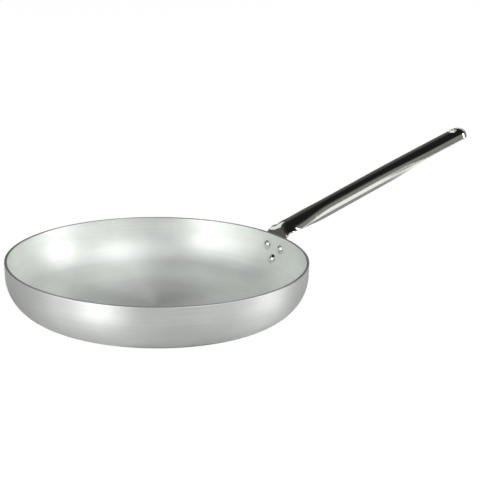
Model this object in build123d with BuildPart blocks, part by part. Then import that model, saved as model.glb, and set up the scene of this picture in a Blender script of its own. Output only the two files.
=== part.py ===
from build123d import *
from math import asin, cos, degrees, radians, sin, sqrt, tan
import os

# An omelette pan: a spun aluminium body and a pressed steel handle, held together by three rivets.
# The origin is the centre of the underside of the base, +Z is up, and the handle points along +X.
# All lengths are in millimetres and all angles in degrees.

# Pan body
pan_radius = 160
pan_height = 55
wall = 3
wall_draft = 2
corner_radius = 42
rim_round = 0.7

# Handle, seen from the side: a knee over the rim, then a long gentle arch
sheet = 1.5
seat_gap = 0.1
knee_drop = 6.3
knee_radius = 21.1
handle_rise = 16.7
handle_arch = 1.9
handle_length = 258.3

# Flange of the handle, which lies on the wall under the rim
flange_half_width = 16.5
flange_margin = 7.5

# Three sections of the handle, each a chain of bends from the middle of its top down to its edge:
# crown, shoulder, side, crease and lip. Splay is how far the top of the side leans from upright.
throat_half_width = 13.8
throat_crown_turn = 39
throat_shoulder_radius = 9.2
throat_splay = 10.5
throat_side = 0.5
grip_half_width = 9.6
grip_crown_turn = 10
grip_shoulder_radius = 8.2
grip_splay = 3.7
grip_side = 3.8
tip_half_width = 10.5
tip_crown_turn = 45
tip_shoulder_radius = 3.5
tip_splay = 10
tip_side = 4
side_turn = 2

# Edge of the sheet: plain at throat and tip, and a lip turned in under the grip
plain_crease_radius = 9
plain_crease_turn = 3
plain_lip = 0.45
plain_lip_turn = 3
crease_radius = 2
crease_turn = 18
lip = 5.8
lip_turn = 22

# Where the flat flange folds into the throat, from the start of the knee and past its end, and where
# the other changes begin and end, as shares of the handle's length
fold_start = 3.7
fold_end = 12.7
grip_full_share = 0.215
grip_fade_share = 0.36
tip_full_share = 0.8
lip_fade_share = 0.53
lip_gone_share = 0.82

# Sections that the handle is lofted through
knee_steps = 8
channel_steps = 20
step_growth = 1.5

# Hanging hole in the round end
hole_diameter = 9
hole_setback = 5.8

# Rivets: a pair side by side under the rim and one below them
rivet_spread = 22.8
upper_rivet_drop = 14.3
lower_rivet_drop = 28
shank_diameter = 6
shank_clearance = 0.05
head_diameter = 10.5
head_height = 2.8
tail_diameter = 9.5
tail_height = 2.2
dome_edge = 0.5
dome_foot = 1

# How far a cut runs past what it cuts
overrun = 12

# The wall seen in section: the base is flat out to base_radius, then comes one arc, then a straight side
side_foot = corner_radius * (1 - sin(radians(wall_draft)))
side_foot_radius = pan_radius - (pan_height - side_foot) * tan(radians(wall_draft))
base_radius = side_foot_radius - corner_radius * cos(radians(wall_draft))
section_plane = Plane(origin=(0, 0, 0), x_dir=(-1, 0, 0), z_dir=(0, 1, 0))


def wall_radius(height, offset=0):
    """Radius, at a height, of the surface that lies this offset outside the wall."""
    side = pan_radius - (pan_height - height) * tan(radians(wall_draft)) + offset / cos(radians(wall_draft))
    if height >= corner_radius - (corner_radius + offset) * sin(radians(wall_draft)):
        return side
    return base_radius + sqrt((corner_radius + offset) ** 2 - (corner_radius - height) ** 2)


def wall_lean(height):
    """Angle below level of the wall's outward normal at a height."""
    if height >= side_foot:
        return wall_draft
    return degrees(asin((corner_radius - height) / corner_radius))


def wall_line(offset, top):
    """Arc and straight side at this offset from the wall, drawn from the base up to a height."""
    radius = corner_radius + offset
    if top <= corner_radius - radius * sin(radians(wall_draft)):
        lean = degrees(asin((corner_radius - top) / radius))
        arc = CenterArc((base_radius, corner_radius), radius, -90, 90 - lean)
        return arc @ 0, arc @ 1
    arc = CenterArc((base_radius, corner_radius), radius, -90, 90 - wall_draft)
    side = Line(arc @ 1, (wall_radius(top, offset), top))
    return arc @ 0, side @ 1


def wall_band(inner, outer, top):
    """Section of what lies between two offsets of the wall."""
    with BuildSketch(section_plane) as band:
        with BuildLine():
            inner_foot, inner_top = wall_line(inner, top)
            outer_foot, outer_top = wall_line(outer, top)
            Line(inner_foot, outer_foot)
            Line(inner_top, outer_top)
        make_face()
    return band.sketch


def rivet_plane(side, drop):
    """Plane on the outside of the wall at a rivet, with its normal along the rivet."""
    height = pan_height - drop
    radius = wall_radius(height)
    azimuth = degrees(asin(side / radius))
    lean = radians(wall_lean(height))
    place = Vector(radius, 0, height).rotate(Axis.Z, azimuth)
    outward = Vector(cos(lean), 0, -sin(lean)).rotate(Axis.Z, azimuth)
    across = Vector(0, 1, 0).rotate(Axis.Z, azimuth)
    return Plane(origin=place, x_dir=across, z_dir=outward)


rivet_planes = {
    "rivet_left": rivet_plane(rivet_spread / 2, upper_rivet_drop),
    "rivet_right": rivet_plane(-rivet_spread / 2, upper_rivet_drop),
    "rivet_lower": rivet_plane(0, lower_rivet_drop),
}


def round_face(plane, diameter):
    with BuildSketch(plane) as face:
        Circle(diameter / 2)
    return face.sketch


def drill_rivet_holes():
    for plane in rivet_planes.values():
        hole = round_face(plane, shank_diameter + 2 * shank_clearance)
        extrude(hole, amount=wall + sheet + overrun, both=True, mode=Mode.SUBTRACT)


# Pan body, one spinning
with BuildPart() as pan_body:
    with BuildSketch(section_plane):
        with BuildLine():
            outer_foot, outer_top = wall_line(0, pan_height)
            inner_foot, inner_top = wall_line(-wall, pan_height)
            Line(outer_top, inner_top)
            Polyline(outer_foot, (0, 0), (0, wall), inner_foot)
        make_face()
    revolve(axis=Axis.Z)
    fillet(pan_body.edges().group_by(Axis.Z)[-1], radius=rim_round)
    drill_rivet_holes()

# The handle's line in the XZ plane, on its outer face
knee_start = pan_height - knee_drop
knee_foot = Vector(wall_radius(knee_start, seat_gap), 0, knee_start)
knee_turn = 90 - handle_rise
knee_length = knee_radius * radians(knee_turn)
arch_radius = handle_length / radians(handle_arch)


def heading(angle):
    return Vector(cos(radians(angle)), 0, sin(radians(angle)))


def section_at(place, angle):
    """Plane across the handle: its X is across, its Y is up and its normal points to the tip."""
    return Plane(origin=place, x_dir=(0, 1, 0), z_dir=heading(angle))


def knee_plane(share):
    turned = knee_turn * share
    centre = knee_foot + Vector(knee_radius, 0, 0)
    return section_at(centre - heading(-turned) * knee_radius, 90 - turned)


def arch_plane(share):
    angle = handle_rise - handle_arch * share
    start = knee_plane(1).origin
    travel = (heading(handle_rise - 90) - heading(angle - 90)) * arch_radius
    return section_at(start + travel, angle)


def ease(place, start, end):
    """Goes smoothly from 0 at the start to 1 at the end."""
    share = min(max((place - start) / (end - start), 0), 1)
    return share**2 * (3 - 2 * share)


def blend(first, second, shares):
    return [a + (b - a) * share for a, b, share in zip(first, second, shares)]


def section_bends(half_width, crown_turn, shoulder_radius, splay, side):
    """Run and turn of the crown, shoulder and side of a section."""
    shoulder_reach = shoulder_radius * (cos(radians(splay)) - sin(radians(crown_turn)))
    crown_radius = (half_width - shoulder_reach) / sin(radians(crown_turn))
    shoulder_turn = 90 - splay - crown_turn
    runs = [crown_radius * radians(crown_turn), shoulder_radius * radians(shoulder_turn), side]
    return runs, [crown_turn, shoulder_turn, side_turn]


def bends(runs, turns):
    """Signed radius of the outer face and angle of each bend."""
    return [(run / radians(turn), turn) for run, turn in zip(runs, turns)]


def chain(start, arcs):
    """Arcs drawn one after the other, from the middle of the handle outwards."""
    edges = []
    point = start
    direction = (1, 0)
    for radius, turn in arcs:
        edges.append(JernArc(point, direction, abs(radius), -turn, mode=Mode.PRIVATE))
        point = edges[-1] @ 1
        direction = edges[-1] % 1
    return edges


def half_section(outer_arcs, inner_arcs, depth):
    """Both faces of the sheet and its edge, on one side of the middle."""
    outer = chain((0, 0), outer_arcs)
    inner = chain((0, -depth), inner_arcs)
    return [*outer, Line(outer[-1] @ 1, inner[-1] @ 1, mode=Mode.PRIVATE), *inner]


def sheet_section(plane, outer_arcs, inner_arcs, depth=sheet):
    """Whole section. Each one keeps the same number of edges, so that they loft one to one."""
    half = half_section(outer_arcs, inner_arcs, depth)
    other_half = [edge.mirror(Plane.YZ) for edge in half]
    return plane.from_local_coords(Face(Wire(half + other_half)))


def bent_section(plane, runs, turns):
    outer = bends(runs, turns)
    inner = [(radius - sheet, turn) for radius, turn in outer]
    return sheet_section(plane, outer, inner)


plain_edge_runs = [plain_crease_radius * radians(plain_crease_turn), plain_lip]
plain_edge_turns = [plain_crease_turn, plain_lip_turn]
lip_edge_runs = [crease_radius * radians(crease_turn), lip]
lip_edge_turns = [crease_turn, lip_turn]
throat_runs, throat_turns = section_bends(
    throat_half_width, throat_crown_turn, throat_shoulder_radius, throat_splay, throat_side
)
grip_runs, grip_turns = section_bends(
    grip_half_width, grip_crown_turn, grip_shoulder_radius, grip_splay, grip_side
)
tip_runs, tip_turns = section_bends(
    tip_half_width, tip_crown_turn, tip_shoulder_radius, tip_splay, tip_side
)
bend_count = len(throat_runs + plain_edge_runs)
flat_runs = [flange_half_width / bend_count] * bend_count
flat_turns = [-degrees(run / wall_radius(knee_start)) for run in flat_runs]


def changed(flat, throat, grip, tip, plain_edge, lip_edge, way):
    """Runs or turns of the section at a way along the arch, which is negative in the knee."""
    share = way / handle_length
    to_grip = [ease(share, 0, grip_full_share)] * bend_count
    body_fade = ease(share, grip_fade_share, tip_full_share)
    edge_fade = ease(share, lip_fade_share, lip_gone_share)
    to_tip = [body_fade] * len(tip) + [edge_fade] * len(plain_edge)
    fold = [ease(way, fold_start - knee_length, fold_end)] * bend_count
    grown = blend(throat + plain_edge, grip + lip_edge, to_grip)
    return blend(flat, blend(grown, tip + plain_edge, to_tip), fold)


def runs_at(way):
    return changed(flat_runs, throat_runs, grip_runs, tip_runs, plain_edge_runs, lip_edge_runs, way)


def turns_at(way):
    return changed(flat_turns, throat_turns, grip_turns, tip_turns, plain_edge_turns, lip_edge_turns, way)


def flange_arcs(height, offset):
    radius = wall_radius(height, offset)
    turn = degrees(asin(flange_half_width / radius)) / bend_count
    return [(-radius, -turn)] * bend_count


def flange_section(height):
    outer = flange_arcs(height, seat_gap)
    inner = flange_arcs(height, seat_gap + sheet)
    outer_radius = wall_radius(height, seat_gap)
    depth = wall_radius(height, seat_gap + sheet) - outer_radius
    return sheet_section(section_at((outer_radius, 0, height), 90), outer, inner, depth)


sections = [flange_section(knee_start)]
for step in range(1, knee_steps):
    share = step / knee_steps
    way = knee_length * (share - 1)
    sections.append(bent_section(knee_plane(share), runs_at(way), turns_at(way)))
for step in range(channel_steps + 1):
    share = (step / channel_steps) ** step_growth
    way = handle_length * share
    sections.append(bent_section(arch_plane(share), runs_at(way), turns_at(way)))

# Handle, one pressing
with BuildPart() as handle:
    # Flange: a band that follows the wall, cut to a rounded triangle around the rivets
    revolve(wall_band(seat_gap, seat_gap + sheet, knee_start), axis=Axis.Z)
    with BuildSketch(Plane.YZ):
        with BuildLine():
            Line((-flange_half_width, knee_start), (flange_half_width, knee_start))
        with Locations(
            (-rivet_spread / 2, pan_height - upper_rivet_drop),
            (rivet_spread / 2, pan_height - upper_rivet_drop),
            (0, pan_height - lower_rivet_drop),
        ):
            Circle(flange_margin)
        make_hull()
    extrude(amount=pan_radius + overrun, mode=Mode.INTERSECT)

    # Knee and channel, as one loft of changing sections
    loft(sections)

    # Round end: the last half section turned about the upright line through its middle
    tip_plane = arch_plane(1)
    tip_arcs = bends(runs_at(handle_length), turns_at(handle_length))
    tip_half = half_section(tip_arcs, [(radius - sheet, turn) for radius, turn in tip_arcs], sheet)
    middle = Line((0, 0), (0, -sheet), mode=Mode.PRIVATE)
    tip_face = tip_plane.from_local_coords(Face(Wire([*tip_half, middle])))
    revolve(tip_face, axis=Axis(tip_plane.origin, -tip_plane.y_dir), revolution_arc=180)

    hole_plane = arch_plane(1 - hole_setback / handle_length)
    hole_mouth = Plane(origin=hole_plane.origin, x_dir=hole_plane.z_dir, z_dir=hole_plane.y_dir)
    extrude(round_face(hole_mouth, hole_diameter), amount=sheet + overrun, both=True, mode=Mode.SUBTRACT)
    drill_rivet_holes()


# Rivets: a dome inside the pan, a shank through both sheets and a formed tail outside. The seats of
# dome and tail follow the curve of what they clamp.
def dome(plane, diameter, height):
    """Dome on a plane's normal side, cut to sit on the sheets."""
    half_plane = Plane(origin=plane.origin, x_dir=plane.x_dir, z_dir=-plane.y_dir)
    radius = diameter / 2
    crown = height - dome_edge
    ball_radius = (radius**2 + crown**2) / (2 * crown)
    with BuildPart() as piece:
        with BuildSketch(half_plane):
            with BuildLine():
                foot = Polyline((0, height), (0, -dome_foot), (radius, -dome_foot), (radius, dome_edge))
                RadiusArc(foot @ 0, foot @ 1, ball_radius)
            make_face()
        revolve(axis=Axis(plane.origin, plane.z_dir))
        revolve(wall_band(-wall, seat_gap + sheet, pan_height), axis=Axis.Z, mode=Mode.SUBTRACT)
    return piece.part


def rivet(name, plane):
    inside = plane.offset(-wall)
    outside = plane.offset(seat_gap + sheet)
    head_plane = Plane(origin=inside.origin, x_dir=inside.x_dir, z_dir=-inside.z_dir)
    shank_start = plane.offset(-wall - head_height / 2)
    shank_length = head_height / 2 + wall + seat_gap + sheet + tail_height / 2
    head = dome(head_plane, head_diameter, head_height)
    tail = dome(outside, tail_diameter, tail_height)
    with BuildPart() as piece:
        add(head)
        add(tail)
        extrude(round_face(shank_start, shank_diameter), amount=shank_length)
    piece.part.label = name
    export_step(piece.part, f"parts/{name}.step")


os.makedirs("parts", exist_ok=True)
pan_body.part.label = "pan_body"
export_step(pan_body.part, "parts/pan_body.step")
handle.part.label = "handle"
export_step(handle.part, "parts/handle.step")
for rivet_name, rivet_place in rivet_planes.items():
    rivet(rivet_name, rivet_place)
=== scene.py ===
from math import asin, atan2, cos, degrees, hypot, pi, radians, sin, sqrt, tan

import bmesh
import bpy
import numpy as np
from mathutils import Matrix, Vector
from mathutils.geometry import convex_hull_2d


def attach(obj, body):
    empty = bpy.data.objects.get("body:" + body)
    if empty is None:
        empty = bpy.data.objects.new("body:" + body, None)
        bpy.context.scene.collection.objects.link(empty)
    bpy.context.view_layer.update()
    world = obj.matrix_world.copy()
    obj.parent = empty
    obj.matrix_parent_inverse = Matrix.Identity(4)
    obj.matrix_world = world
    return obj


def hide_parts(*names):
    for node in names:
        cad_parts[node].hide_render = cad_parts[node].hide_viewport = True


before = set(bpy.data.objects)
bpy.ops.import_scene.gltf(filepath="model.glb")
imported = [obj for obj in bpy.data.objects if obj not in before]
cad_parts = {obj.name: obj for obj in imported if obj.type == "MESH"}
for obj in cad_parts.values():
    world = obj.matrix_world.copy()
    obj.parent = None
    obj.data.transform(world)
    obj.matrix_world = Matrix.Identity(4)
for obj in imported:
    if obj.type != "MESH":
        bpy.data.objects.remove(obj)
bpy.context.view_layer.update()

# An omelette pan: a round aluminium pan and a pressed steel handle, held by three rivets.
# Origin at the centre of the underside, +X along the handle, +Z up, metres.
RIM_HEIGHT = 0.055
PAN_RADIUS = 0.16

# The view, solved from the rim's ellipse and the handle in the photograph
IMAGE_SIZE = 480
FOCAL_PIXELS = 2000
SENSOR_WIDTH = 36
VIEW_ELEVATION = radians(16.661)
HANDLE_AZIMUTH = radians(37.6)
VIEW_ROLL = radians(0.915)
VIEW_DISTANCE_RADII = 13.1357
VIEW_DISTANCE = VIEW_DISTANCE_RADII * PAN_RADIUS
RIM_CENTRE_PIXEL = (157.24, 258.86)
NEAREST_SEEN = 0.05
FARTHEST_SEEN = 50

# The wall that the flange of the handle lies on
WALL_DRAFT = radians(2)
CORNER_RADIUS = 0.042
SIDE_FOOT = CORNER_RADIUS * (1 - sin(WALL_DRAFT))
SIDE_FOOT_RADIUS = PAN_RADIUS - (RIM_HEIGHT - SIDE_FOOT) * tan(WALL_DRAFT)
BASE_RADIUS = SIDE_FOOT_RADIUS - CORNER_RADIUS * cos(WALL_DRAFT)

# The handle's line: a knee over the rim, then a long gentle arch
SHEET = 0.0015
SEAT_GAP = 0.0001
KNEE_DROP = 0.0063
KNEE_RADIUS = 0.0211
HANDLE_RISE = radians(16.7)
HANDLE_ARCH = radians(1.9)
HANDLE_LENGTH = 0.2583
KNEE_START = RIM_HEIGHT - KNEE_DROP
KNEE_TURN = pi / 2 - HANDLE_RISE
KNEE_LENGTH = KNEE_RADIUS * KNEE_TURN
ARCH_RADIUS = HANDLE_LENGTH / HANDLE_ARCH

# The hanging hole, and the patch of finer rings round it
HOLE_RADIUS = 0.0045
HOLE_SETBACK = 0.0058
PATCH_MARGIN_ACROSS = 0.0014
PATCH_MARGIN_BEHIND = 0.002

# The flange: a rounded triangle round the three rivets
FLANGE_HALF_WIDTH = 0.0165
FLANGE_MARGIN = 0.0075
RIVET_SPREAD = 0.0228
UPPER_RIVET_DROP = 0.0143
LOWER_RIVET_DROP = 0.028

# Where the sections change along the handle
FOLD_START = 0.0037
FOLD_END = 0.0127
GRIP_FULL_SHARE = 0.215
GRIP_FADE_SHARE = 0.36
TIP_FULL_SHARE = 0.8
LIP_FADE_SHARE = 0.53
LIP_GONE_SHARE = 0.82

# How finely the handle is sampled, and the rounding of the sheet's cut edges
BEND_STEPS = 10
FLANGE_STEPS = 26
FLANGE_CORNER_STEPS = 96
KNEE_STEPS = 44
CHANNEL_STEPS = 130
CHANNEL_STEP_GROWTH = 1.2
TIP_STEPS = 40
HOLE_RINGS = 5
EDGE_ROUND = 0.00028
EDGE_CORNER_SHARE = 0.3
MERGE_DISTANCE = 1e-7

# The sides of the handle's sections bulge by this many degrees
SIDE_TURN = 2


def body_bends(half_width, crown_turn, shoulder_radius, splay, side):
    """Runs (m) and turns (degrees) of a section's crown, shoulder and side."""
    reach = shoulder_radius * (cos(radians(splay)) - sin(radians(crown_turn)))
    crown_radius = (half_width - reach) / sin(radians(crown_turn))
    shoulder_turn = 90 - splay - crown_turn
    runs = [crown_radius * radians(crown_turn), shoulder_radius * radians(shoulder_turn), side]
    return np.array([runs, [crown_turn, shoulder_turn, SIDE_TURN]])


def edge_bends(corner_radius, corner_turn, lip, lip_turn):
    """Runs (m) and turns (degrees) of the corner below the side and of the lip past it."""
    return np.array([[corner_radius * radians(corner_turn), lip], [corner_turn, lip_turn]])


THROAT = body_bends(half_width=0.0138, crown_turn=39, shoulder_radius=0.0092, splay=10.5, side=0.0005)
GRIP = body_bends(half_width=0.0096, crown_turn=10, shoulder_radius=0.0082, splay=3.7, side=0.0038)
TIP = body_bends(half_width=0.0105, crown_turn=45, shoulder_radius=0.0035, splay=10, side=0.004)
PLAIN_EDGE = edge_bends(corner_radius=0.009, corner_turn=3, lip=0.00045, lip_turn=3)
LIP_EDGE = edge_bends(corner_radius=0.002, corner_turn=18, lip=0.0058, lip_turn=22)
TIP_CROWN_RADIUS = TIP[0][0] / radians(TIP[1][0])
BODY_BENDS = TIP.shape[1]
EDGE_BENDS = LIP_EDGE.shape[1]
BENDS = BODY_BENDS + EDGE_BENDS


def turn_to_row(vector):
    """From the photograph's directions (X right, Y away, Z up) to the pan's own."""
    return Matrix.Rotation(-HANDLE_AZIMUTH, 3, "Z") @ Vector(vector)


def add_camera():
    right = turn_to_row((1, 0, 0))
    down = turn_to_row((0, -sin(VIEW_ELEVATION), -cos(VIEW_ELEVATION)))
    forward = turn_to_row((0, cos(VIEW_ELEVATION), -sin(VIEW_ELEVATION)))
    offset_x = (RIM_CENTRE_PIXEL[0] - IMAGE_SIZE / 2) / FOCAL_PIXELS
    offset_y = (RIM_CENTRE_PIXEL[1] - IMAGE_SIZE / 2) / FOCAL_PIXELS
    level_x = cos(VIEW_ROLL) * offset_x + sin(VIEW_ROLL) * offset_y
    level_y = cos(VIEW_ROLL) * offset_y - sin(VIEW_ROLL) * offset_x
    rim_centre = Vector((0, 0, RIM_HEIGHT))
    place = rim_centre - (right * level_x + down * level_y + forward) * VIEW_DISTANCE
    rolled_right = right * cos(VIEW_ROLL) - down * sin(VIEW_ROLL)
    rolled_down = right * sin(VIEW_ROLL) + down * cos(VIEW_ROLL)
    data = bpy.data.cameras.new("camera")
    data.sensor_width = SENSOR_WIDTH
    data.lens = FOCAL_PIXELS / IMAGE_SIZE * SENSOR_WIDTH
    data.clip_start = NEAREST_SEEN
    data.clip_end = FARTHEST_SEEN
    camera = bpy.data.objects.new("camera", data)
    axes = Matrix((rolled_right, -rolled_down, -forward)).transposed()
    camera.matrix_world = Matrix.Translation(place) @ axes.to_4x4()
    bpy.context.collection.objects.link(camera)
    bpy.context.scene.camera = camera


def ease(place, start, end):
    share = min(max((place - start) / (end - start), 0), 1)
    return share**2 * (3 - 2 * share)


def heading(angle):
    """Direction in the handle's upright plane, at an angle above level."""
    return np.array([cos(angle), 0, sin(angle)])


def wall_radius(height, offset=0):
    """Radius, at a height, of the surface that lies this offset outside the wall."""
    side = PAN_RADIUS - (RIM_HEIGHT - height) * tan(WALL_DRAFT) + offset / cos(WALL_DRAFT)
    if height >= CORNER_RADIUS - (CORNER_RADIUS + offset) * sin(WALL_DRAFT):
        return side
    return BASE_RADIUS + sqrt((CORNER_RADIUS + offset) ** 2 - (CORNER_RADIUS - height) ** 2)


def section_at(way):
    """Runs and turns of all bends at a way along the arch, which is negative in the knee."""
    share = way / HANDLE_LENGTH
    throat = np.hstack([THROAT, PLAIN_EDGE])
    grip = np.hstack([GRIP, LIP_EDGE])
    tip = np.hstack([TIP, PLAIN_EDGE])
    flat_run = FLANGE_HALF_WIDTH / BENDS
    flat_turn = -degrees(flat_run / wall_radius(KNEE_START))
    flat = np.array([[flat_run] * BENDS, [flat_turn] * BENDS])
    grown = throat + (grip - throat) * ease(share, 0, GRIP_FULL_SHARE)
    body_fade = ease(share, GRIP_FADE_SHARE, TIP_FULL_SHARE)
    edge_fade = ease(share, LIP_FADE_SHARE, LIP_GONE_SHARE)
    fades = np.array([body_fade] * BODY_BENDS + [edge_fade] * EDGE_BENDS)
    channel = grown + (tip - grown) * fades
    return flat + (channel - flat) * ease(way, FOLD_START - KNEE_LENGTH, FOLD_END)


def half_chain(section):
    """Across, up and angle of points along the outer face, from the middle outwards."""
    runs = np.repeat(section[0] / BEND_STEPS, BEND_STEPS)
    turns = np.repeat(np.radians(section[1]) / BEND_STEPS, BEND_STEPS)
    angles = np.concatenate([[0], np.cumsum(turns)])
    middles = angles[1:] - turns / 2
    chords = runs * np.sinc(turns / 2 / pi)
    across = np.concatenate([[0], np.cumsum(chords * np.cos(middles))])
    up = np.concatenate([[0], -np.cumsum(chords * np.sin(middles))])
    return across, up, angles


def knee_at(turned):
    """Place of the handle's line where the knee has turned this far from upright."""
    centre = np.array([wall_radius(KNEE_START, SEAT_GAP) + KNEE_RADIUS, 0, KNEE_START])
    return centre - KNEE_RADIUS * heading(-turned)


def line_at(way):
    """Place and angle of the handle's line at a way along the arch, negative in the knee."""
    if way < 0:
        turned = KNEE_TURN * (1 + way / KNEE_LENGTH)
        return knee_at(turned), pi / 2 - turned
    angle = HANDLE_RISE - way / ARCH_RADIUS
    swing = heading(HANDLE_RISE - pi / 2) - heading(angle - pi / 2)
    return knee_at(KNEE_TURN) + swing * ARCH_RADIUS, angle


def channel_half(way, side, turned=0):
    """Outer and inner points of one half section, turned about the upright line through its middle."""
    across, up, angles = half_chain(section_at(way))
    origin, angle = line_at(way)
    forward, upward = heading(angle), heading(angle + pi / 2)
    outward = forward * sin(turned) + np.array([0, side, 0]) * cos(turned)
    outer = origin + across[:, None] * outward + up[:, None] * upward
    inner = outer - SHEET * (np.sin(angles)[:, None] * outward + np.cos(angles)[:, None] * upward)
    return outer, inner


def flange_half(height, side, half_width):
    """The same at a height of the flange, which follows the round wall."""
    faces = []
    for offset in (SEAT_GAP, SEAT_GAP + SHEET):
        radius = wall_radius(height, offset)
        azimuths = np.linspace(0, asin(half_width / radius), BENDS * BEND_STEPS + 1)
        heights = np.full_like(azimuths, height)
        faces.append(np.stack([radius * np.cos(azimuths), side * radius * np.sin(azimuths), heights], 1))
    return faces


def round_edge(outer, inner):
    """Half a section as one run of points: out along the outer face, round the cut edge and back."""
    inward = (outer[-2] - outer[-1]) / np.linalg.norm(outer[-2] - outer[-1]) * EDGE_ROUND
    through = (inner[-1] - outer[-1]) / SHEET * EDGE_ROUND
    edge = [
        outer[-1] + inward,
        outer[-1] + (inward + through) * EDGE_CORNER_SHARE,
        outer[-1] + through,
        inner[-1] - through,
        inner[-1] + (inward - through) * EDGE_CORNER_SHARE,
        inner[-1] + inward,
    ]
    return np.concatenate([outer[:-1], edge, inner[-2::-1]])


def flange_outline():
    """Corners (across, height) of the flange's outline, laid flat."""
    points = [Vector((FLANGE_HALF_WIDTH, KNEE_START)), Vector((-FLANGE_HALF_WIDTH, KNEE_START))]
    rivets = (
        (-RIVET_SPREAD / 2, UPPER_RIVET_DROP),
        (RIVET_SPREAD / 2, UPPER_RIVET_DROP),
        (0, LOWER_RIVET_DROP),
    )
    for across, drop in rivets:
        for step in range(FLANGE_CORNER_STEPS):
            turn = 2 * pi * step / FLANGE_CORNER_STEPS
            place = Vector((across, RIM_HEIGHT - drop))
            points.append(place + Vector((cos(turn), sin(turn))) * FLANGE_MARGIN)
    return [points[index] for index in convex_hull_2d(points)]


def flange_reach(outline, height):
    """Half width of the flange at a height."""
    reach = 0
    for first, second in zip(outline, outline[1:] + outline[:1]):
        low, high = sorted((first.y, second.y))
        if low <= height <= high and high > low:
            share = (height - first.y) / (second.y - first.y)
            reach = max(reach, first.x + (second.x - first.x) * share)
    return reach


def close_row(right, left):
    return np.concatenate([right, left[-2:0:-1]])


def flange_rows():
    """Closed rows of points from the foot of the flange up to the knee."""
    outline = flange_outline()
    foot = min(point.y for point in outline)
    rows = []
    for step in range(1, FLANGE_STEPS):
        height = foot + (KNEE_START - foot) * (1 - cos(pi / 2 * step / FLANGE_STEPS))
        reach = flange_reach(outline, height)
        rows.append(close_row(*(round_edge(*flange_half(height, side, reach)) for side in (-1, 1))))
    return rows


def channel_rows(ways):
    """Closed rows of points from the knee to where the round tip starts."""
    return [close_row(*(round_edge(*channel_half(way, side)) for side in (-1, 1))) for way in ways]


def tip_height(radius, depth):
    """Height of the tip's crown at a distance from its middle, at a depth in the sheet."""
    return sqrt((TIP_CROWN_RADIUS - depth) ** 2 - radius**2) - TIP_CROWN_RADIUS


def patch_border(rows, tip, first_row, column, middle, way_round):
    """Border of the patch round the hole: across behind it, then round by the tip and back."""
    right = middle + way_round * column
    left = middle - way_round * column
    behind = [rows[first_row][middle + way_round * place] for place in range(-column, column + 1)]
    beside = rows[first_row + 1 : -1]
    return (
        behind
        + [row[right] for row in beside]
        + [half[right] for half in tip]
        + [row[left] for row in reversed(beside)]
    )


def hole_rings(border, depth):
    """Rings of points on one face of the tip's crown, from a border in to the hole's edge."""
    origin, angle = line_at(HANDLE_LENGTH)
    forward, upward = heading(angle), heading(angle + pi / 2)
    into_sheet = -1 if depth == 0 else 1
    plans = [((point - origin) @ forward, point[1]) for point in border]
    aims = [atan2(across, along + HOLE_SETBACK) for along, across in plans]
    edge_radius = HOLE_RADIUS + EDGE_ROUND
    corner = EDGE_ROUND * EDGE_CORNER_SHARE

    def on_crown(along, across, sunk=0):
        radius = hypot(max(along, 0), across)
        up = tip_height(radius, depth) + sunk * into_sheet
        return origin + along * forward + np.array([0, across, 0]) + up * upward

    def on_circle(radius, sunk=0):
        return [on_crown(radius * cos(aim) - HOLE_SETBACK, radius * sin(aim), sunk) for aim in aims]

    rings = [list(border)]
    for ring in range(1, HOLE_RINGS):
        share = ring / HOLE_RINGS
        points = []
        for (along, across), aim in zip(plans, aims):
            step_along = (edge_radius * cos(aim) - HOLE_SETBACK - along) * share
            step_across = (edge_radius * sin(aim) - across) * share
            points.append(on_crown(along + step_along, across + step_across))
        rings.append(points)
    rings.append(on_circle(edge_radius))
    rings.append(on_circle(HOLE_RADIUS + corner, corner))
    rings.append(on_circle(HOLE_RADIUS, EDGE_ROUND))
    return [ring + ring[:1] for ring in rings]


def add_face(maker, corners):
    maker.faces.new([maker.verts.new(corner) for corner in corners])


def add_sheet(maker, rows, tip, first_row, column):
    """All of the handle's sheet but the patch round the hole, which is open on both faces."""
    loop = len(rows[0])
    middle = len(tip[0]) - 1
    for index, (first, second) in enumerate(zip(rows, rows[1:])):
        for place in range(loop):
            from_middle = min(place, loop - 1 - place, abs(place + 1 / 2 - middle))
            if index >= first_row and from_middle < column:
                continue
            after = (place + 1) % loop
            add_face(maker, (first[place], first[after], second[after], second[place]))
    for first, second in zip(tip, tip[1:]):
        for place in range(column, middle - column):
            add_face(maker, (first[place], first[place + 1], second[place + 1], second[place]))
    add_face(maker, rows[0])


def add_bands(maker, rings):
    """Bands of faces between neighbouring rings, each of which repeats its first point."""
    for first, second in zip(rings, rings[1:]):
        for place in range(len(first) - 1):
            add_face(maker, (first[place], first[place + 1], second[place + 1], second[place]))


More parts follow.
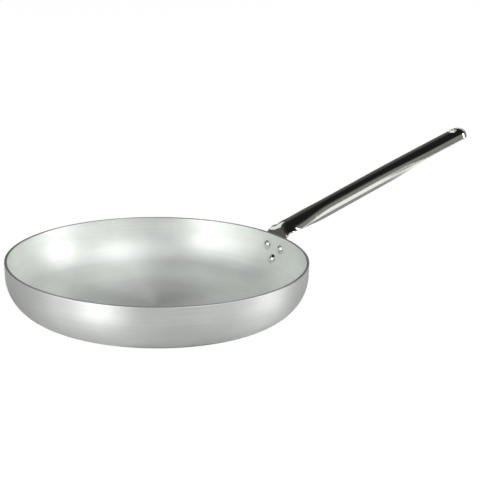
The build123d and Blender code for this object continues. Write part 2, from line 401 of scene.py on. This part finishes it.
def add_handle(material):
    ways = [-KNEE_LENGTH * (1 - step / KNEE_STEPS) for step in range(KNEE_STEPS)]
    for step in range(CHANNEL_STEPS + 1):
        ways.append(HANDLE_LENGTH * (step / CHANNEL_STEPS) ** CHANNEL_STEP_GROWTH)
    rows = flange_rows() + channel_rows(ways)
    turns = [pi * step / TIP_STEPS for step in range(TIP_STEPS + 1)]
    tip = [round_edge(*channel_half(HANDLE_LENGTH, -1, turn)) for turn in turns]
    patch_reach = HOLE_RADIUS + PATCH_MARGIN_ACROSS
    column = next(place for place, point in enumerate(tip[0]) if abs(point[1]) > patch_reach)
    patch_start = HANDLE_LENGTH - HOLE_SETBACK - HOLE_RADIUS - PATCH_MARGIN_BEHIND
    first_row = len(rows) - 1 - sum(way > patch_start for way in ways)

    maker = bmesh.new()
    add_sheet(maker, rows, tip, first_row, column)
    hole_edges = []
    for depth, middle, way_round in ((0, 0, 1), (SHEET, len(tip[0]) - 1, -1)):
        rings = hole_rings(patch_border(rows, tip, first_row, column, middle, way_round), depth)
        add_bands(maker, rings)
        hole_edges.append(rings[-1])
    add_bands(maker, hole_edges)
    bmesh.ops.remove_doubles(maker, verts=maker.verts, dist=MERGE_DISTANCE)
    bmesh.ops.recalc_face_normals(maker, faces=maker.faces)
    mesh = bpy.data.meshes.new("polished_handle")
    maker.to_mesh(mesh)
    maker.free()
    mesh.shade_smooth()
    mesh.materials.append(material)
    piece = bpy.data.objects.new("polished_handle", mesh)
    bpy.context.collection.objects.link(piece)
    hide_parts("handle")
    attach(piece, "root")


# The middle of a noise's range, over which tones and roughness vary
NOISE_LOW = 0.3
NOISE_HIGH = 0.7


class Tree:
    """Shorthand for the nodes of one surface or of the room."""

    def __init__(self, owner):
        owner.use_nodes = True
        self.tree = owner.node_tree
        self.tree.nodes.clear()

    def node(self, kind, inputs=None, **settings):
        made = self.tree.nodes.new(kind)
        for name, value in settings.items():
            setattr(made, name, value)
        for key, value in (inputs or {}).items():
            if isinstance(value, bpy.types.NodeSocket):
                self.tree.links.new(value, made.inputs[key])
            else:
                made.inputs[key].default_value = value
        return made

    def math(self, operation, first, second=0):
        return self.node("ShaderNodeMath", {0: first, 1: second}, operation=operation).outputs[0]

    def vector(self, operation, inputs, output="Vector"):
        return self.node("ShaderNodeVectorMath", inputs, operation=operation).outputs[output]

    def ramp(self, value, low, high, low_value=0, high_value=1):
        inputs = {0: value, 1: low, 2: high, 3: low_value, 4: high_value}
        return self.node("ShaderNodeMapRange", inputs, interpolation_type="SMOOTHSTEP").outputs[0]

    def noise(self, place, scale, detail, roughness):
        inputs = {"Vector": place, "Scale": scale, "Detail": detail, "Roughness": roughness}
        return self.node("ShaderNodeTexNoise", inputs).outputs[0]

    def vary(self, noise, low_value, high_value):
        return self.ramp(noise, NOISE_LOW, NOISE_HIGH, low_value, high_value)

    def mix(self, share, first, second):
        inputs = {0: share, 1: first.outputs[0], 2: second.outputs[0]}
        return self.node("ShaderNodeMixShader", inputs).outputs[0]


WHITE = (1, 1, 1, 1)

# The room: dim walls, paler towards the right front, under a dark ceiling
ROOM_COLOUR = (1, 1, 0.93, 1)
PALE_DIRECTION = (1, -0.3, 0)
PALE_START = 0.6
PALE_FULL = 0.9
DIM_WALL = 0.11
PALE_WALL = 0.24
CEILING_START = 0.45
CEILING_FULL = 0.9
CEILING_SHARE = 0.12


def add_world():
    """White straight behind the pan, and the room for everything that the pan reflects."""
    world = bpy.data.worlds.new("studio")
    bpy.context.scene.world = world
    net = Tree(world)
    path = net.node("ShaderNodeLightPath")
    spot = net.node("ShaderNodeTexCoord").outputs["Generated"]
    height = net.node("ShaderNodeSeparateXYZ", {0: spot}).outputs[2]
    front = net.vector("DOT_PRODUCT", {0: spot, 1: turn_to_row(PALE_DIRECTION)}, "Value")
    walls = net.ramp(front, PALE_START, PALE_FULL, DIM_WALL, PALE_WALL)
    ceiling = net.ramp(height, CEILING_START, CEILING_FULL, 1, CEILING_SHARE)
    room = net.math("MULTIPLY", walls, ceiling)
    dim = net.node("ShaderNodeBackground", {"Color": ROOM_COLOUR, "Strength": room})
    white = net.node("ShaderNodeBackground", {"Color": WHITE, "Strength": 1})
    net.node("ShaderNodeOutputWorld", {0: net.mix(path.outputs["Is Camera Ray"], dim, white)})


# The ground: white to the eye; for the metal, painted shade (a darker floor) and a painted glow, a
# bright ring that fades far out
FLOOR_HALF_WIDTH = 6
FLOOR_TONE = 0.86
FLOOR_SHADE_IN_METAL = 0.5
GLOW = 1.05
GLOW_SEEN_SHARE = 0.93
PAINTED_GLOW_IN_METAL_SHARE = 0.97
GLOW_START = 0.4
GLOW_FULL = 0.54
GLOW_FADE_START = 0.8
GLOW_FADE_END = 1.3
GLOW_FAR_SHARE = 0.15


def add_floor():
    mesh = bpy.data.meshes.new("floor")
    half = FLOOR_HALF_WIDTH
    corners = [(-half, -half, 0), (half, -half, 0), (half, half, 0), (-half, half, 0)]
    mesh.from_pydata(corners, [], [range(len(corners))])
    floor = bpy.data.objects.new("floor", mesh)
    bpy.context.collection.objects.link(floor)
    material = bpy.data.materials.new("floor_white")
    net = Tree(material)
    path = net.node("ShaderNodeLightPath")
    # Painted shade: glossy rays see a darker floor than the eye does
    tone = net.ramp(path.outputs["Is Glossy Ray"], 0, 1, FLOOR_TONE, FLOOR_SHADE_IN_METAL)
    matte = net.node("ShaderNodeBsdfDiffuse", {"Color": tone})
    glow = net.node("ShaderNodeEmission", {"Color": WHITE, "Strength": GLOW})
    spot = net.node("ShaderNodeNewGeometry").outputs["Position"]
    distance = net.vector("LENGTH", {0: spot}, "Value")
    # Painted glow: a bright ring of floor, well out from the pan, that only the metal sees
    ring_start = net.ramp(distance, GLOW_START, GLOW_FULL, 0, PAINTED_GLOW_IN_METAL_SHARE)
    ring_end = net.ramp(distance, GLOW_FADE_START, GLOW_FADE_END, 1, GLOW_FAR_SHARE)
    to_camera = net.math("MULTIPLY", path.outputs["Is Camera Ray"], GLOW_SEEN_SHARE)
    ring = net.math("MULTIPLY", ring_start, ring_end)
    painted_glow_to_metal = net.math("MULTIPLY", path.outputs["Is Glossy Ray"], ring)
    share = net.math("ADD", to_camera, painted_glow_to_metal)
    net.node("ShaderNodeOutputMaterial", {0: net.mix(share, matte, glow)})
    mesh.materials.append(material)


# The soft boxes: azimuth from the photograph's right and elevation (degrees), distance from
# the pan, width and height (m), and power (W)
LAMPS = {
    "left_box": (208, 24, 1.5, 1.3, 1.1, 7.2),
    "left_strip": (233, 9, 1.5, 0.25, 0.6, 5.5),
    "right_box": (0, 19, 3.2, 0.65, 2.1, 32),
    "right_front_box": (-44, 50, 2.4, 1.1, 1.1, 19),
    "left_front_box": (265, 44, 1.8, 1.9, 0.6, 5),
    "back_right_box": (64, 18, 2.0, 1.2, 0.8, 1.6),
    "back_left_box": (130, 27, 2.0, 1.2, 0.8, 2.4),
}
LAMP_AIM = (0, 0, 0.05)


def add_lamp(name, azimuth, elevation, distance, width, height, power):
    """Soft box at a direction of the photograph; azimuths run counter-clockwise from above."""
    data = bpy.data.lights.new(name, "AREA")
    data.shape = "RECTANGLE"
    data.size = width
    data.size_y = height
    data.energy = power
    lamp = bpy.data.objects.new(name, data)
    level = turn_to_row((cos(radians(azimuth)), sin(radians(azimuth)), 0))
    away = level * cos(radians(elevation)) + Vector((0, 0, sin(radians(elevation))))
    lamp.location = Vector(LAMP_AIM) + away * distance
    lamp.rotation_euler = (-away).to_track_quat("-Z", "Y").to_euler()
    bpy.context.collection.objects.link(lamp)


# Polished steel: hair-fine lines along the handle over faint clouds
STEEL_COLOUR = (0.84, 0.835, 0.79)
STEEL_ROUGHNESS = 0.04
# Painted shade: the rivets take a darker copy of the same steel, which darkens their domes' rims and
# outlines
RIVET_SHADED_COLOUR = (0.66, 0.66, 0.645)
RIVET_ROUGHNESS = 0.09
LINE_STRETCH = (0.03, 1, 1)
LINE_NOISE = {"scale": 3000, "detail": 2, "roughness": 0.5}
SMEAR_NOISE = {"scale": 60, "detail": 3, "roughness": 0.5}
LINE_TONES = (0.93, 1)
SMEAR_TONES = (-0.02, 0)
LINE_ROUGH_START = 0.4
LINE_ROUGH_SHARE = 0.4
SMEAR_ROUGH_SHARE = 1.5
LINE_DEPTH = 0.00001
LINE_BUMP = 0.02


def polished_metal(name, colour, roughness):
    material = bpy.data.materials.new(name)
    net = Tree(material)
    place = net.node("ShaderNodeTexCoord").outputs["Object"]
    drawn = net.vector("MULTIPLY", {0: place, 1: LINE_STRETCH})
    lines = net.noise(drawn, **LINE_NOISE)
    smears = net.noise(place, **SMEAR_NOISE)
    tone = net.math("ADD", net.vary(lines, *LINE_TONES), net.vary(smears, *SMEAR_TONES))
    line_rough = net.ramp(lines, LINE_ROUGH_START, NOISE_HIGH, 0, roughness * LINE_ROUGH_SHARE)
    rough = net.math("ADD", net.vary(smears, roughness, roughness * SMEAR_ROUGH_SHARE), line_rough)
    bump = {"Strength": LINE_BUMP, "Distance": LINE_DEPTH, "Height": lines}
    inputs = {
        "Base Color": net.vector("SCALE", {0: colour, 3: tone}),
        "Metallic": 1,
        "Roughness": rough,
        "Normal": net.node("ShaderNodeBump", bump).outputs[0],
    }
    net.node("ShaderNodeOutputMaterial", {0: net.node("ShaderNodeBsdfPrincipled", inputs).outputs[0]})
    return material


# Spun aluminium: fine rings left by the spinning, which drift a little on their way round and
# spread each highlight across them, painted shade over the middle of the floor, and a rim darker along
# its top
PAN_COLOUR = (0.875, 0.9, 0.877)
RING_DRIFT_SHARE = 0.01
FINE_NOISE = {"scale": 2600, "detail": 3, "roughness": 0.6}
BROAD_NOISE = {"scale": 260, "detail": 2, "roughness": 0.5}
CLOUD_NOISE = {"scale": 22, "detail": 3, "roughness": 0.55}
FINE_TONES = (0.01, 0.07)
BROAD_TONES = (0.01, 0.04)
CLOUD_TONES = (0, 0.05)
FLOOR_MIDDLE = 0.02
FLOOR_REST = 0.1
PAN_FLOOR_SHADE_TONES = (0.8, 0.96)
RIM_TONE_SHARE = 0.5
RIM_TONE_START = RIM_HEIGHT - 0.0004
RIM_TONE_FULL = RIM_HEIGHT - 0.0001
BROAD_ROUGHNESS = (0.52, 0.57)
CLOUD_ROUGHNESS = (0, 0.04)
RING_DEPTH = 0.00005
RING_BUMP = 0.25
RING_SPREAD = 0.65
ACROSS_RINGS = 0.25


def spun_metal(name, colour):
    material = bpy.data.materials.new(name)
    net = Tree(material)
    place = net.node("ShaderNodeTexCoord").outputs["Object"]
    x, y, z = net.node("ShaderNodeSeparateXYZ", {0: place}).outputs
    radius = net.math("SQRT", net.math("ADD", net.math("MULTIPLY", x, x), net.math("MULTIPLY", y, y)))
    drift = net.math("MULTIPLY", x, RING_DRIFT_SHARE)
    lift = net.math("ADD", z, net.math("MULTIPLY", y, RING_DRIFT_SHARE))
    rings = net.node("ShaderNodeCombineXYZ", {0: radius, 1: drift, 2: lift}).outputs[0]
    fine = net.noise(rings, **FINE_NOISE)
    broad = net.noise(rings, **BROAD_NOISE)
    cloud = net.noise(place, **CLOUD_NOISE)
    tone = net.math("ADD", net.vary(fine, *FINE_TONES), net.vary(broad, *BROAD_TONES))
    tone = net.math("ADD", tone, net.vary(cloud, *CLOUD_TONES))
    # Painted shade: the floor darkens towards its middle
    tone = net.math("ADD", tone, net.ramp(radius, FLOOR_MIDDLE, FLOOR_REST, *PAN_FLOOR_SHADE_TONES))
    # Darker towards the top of the rim
    tone = net.math("MULTIPLY", tone, net.ramp(z, RIM_TONE_START, RIM_TONE_FULL, 1, RIM_TONE_SHARE))
    rough = net.math("ADD", net.vary(broad, *BROAD_ROUGHNESS), net.vary(cloud, *CLOUD_ROUGHNESS))
    bump = {"Strength": RING_BUMP, "Distance": RING_DEPTH, "Height": fine}
    inputs = {
        "Base Color": net.vector("SCALE", {0: colour, 3: tone}),
        "Metallic": 1,
        "Roughness": rough,
        "Anisotropic": RING_SPREAD,
        "Anisotropic Rotation": ACROSS_RINGS,
        "Normal": net.node("ShaderNodeBump", bump).outputs[0],
        "Tangent": net.node("ShaderNodeTangent", direction_type="RADIAL", axis="Z").outputs[0],
    }
    net.node("ShaderNodeOutputMaterial", {0: net.node("ShaderNodeBsdfPrincipled", inputs).outputs[0]})
    return material


def wear(node, material):
    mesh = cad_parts[node].data
    mesh.materials.clear()
    mesh.materials.append(material)


add_camera()
add_world()
add_floor()
for lamp_name, lamp in LAMPS.items():
    add_lamp(lamp_name, *lamp)

wear("pan_body", spun_metal("spun_aluminium", PAN_COLOUR))
add_handle(polished_metal("polished_steel", STEEL_COLOUR, STEEL_ROUGHNESS))
# The rivets' darker steel is painted shade
shaded_rivet_metal = polished_metal("rivet_steel", RIVET_SHADED_COLOUR, RIVET_ROUGHNESS)
for rivet in ("rivet_left", "rivet_right", "rivet_lower"):
    wear(rivet, shaded_rivet_metal)

bpy.context.scene.view_settings.view_transform = "Standard"
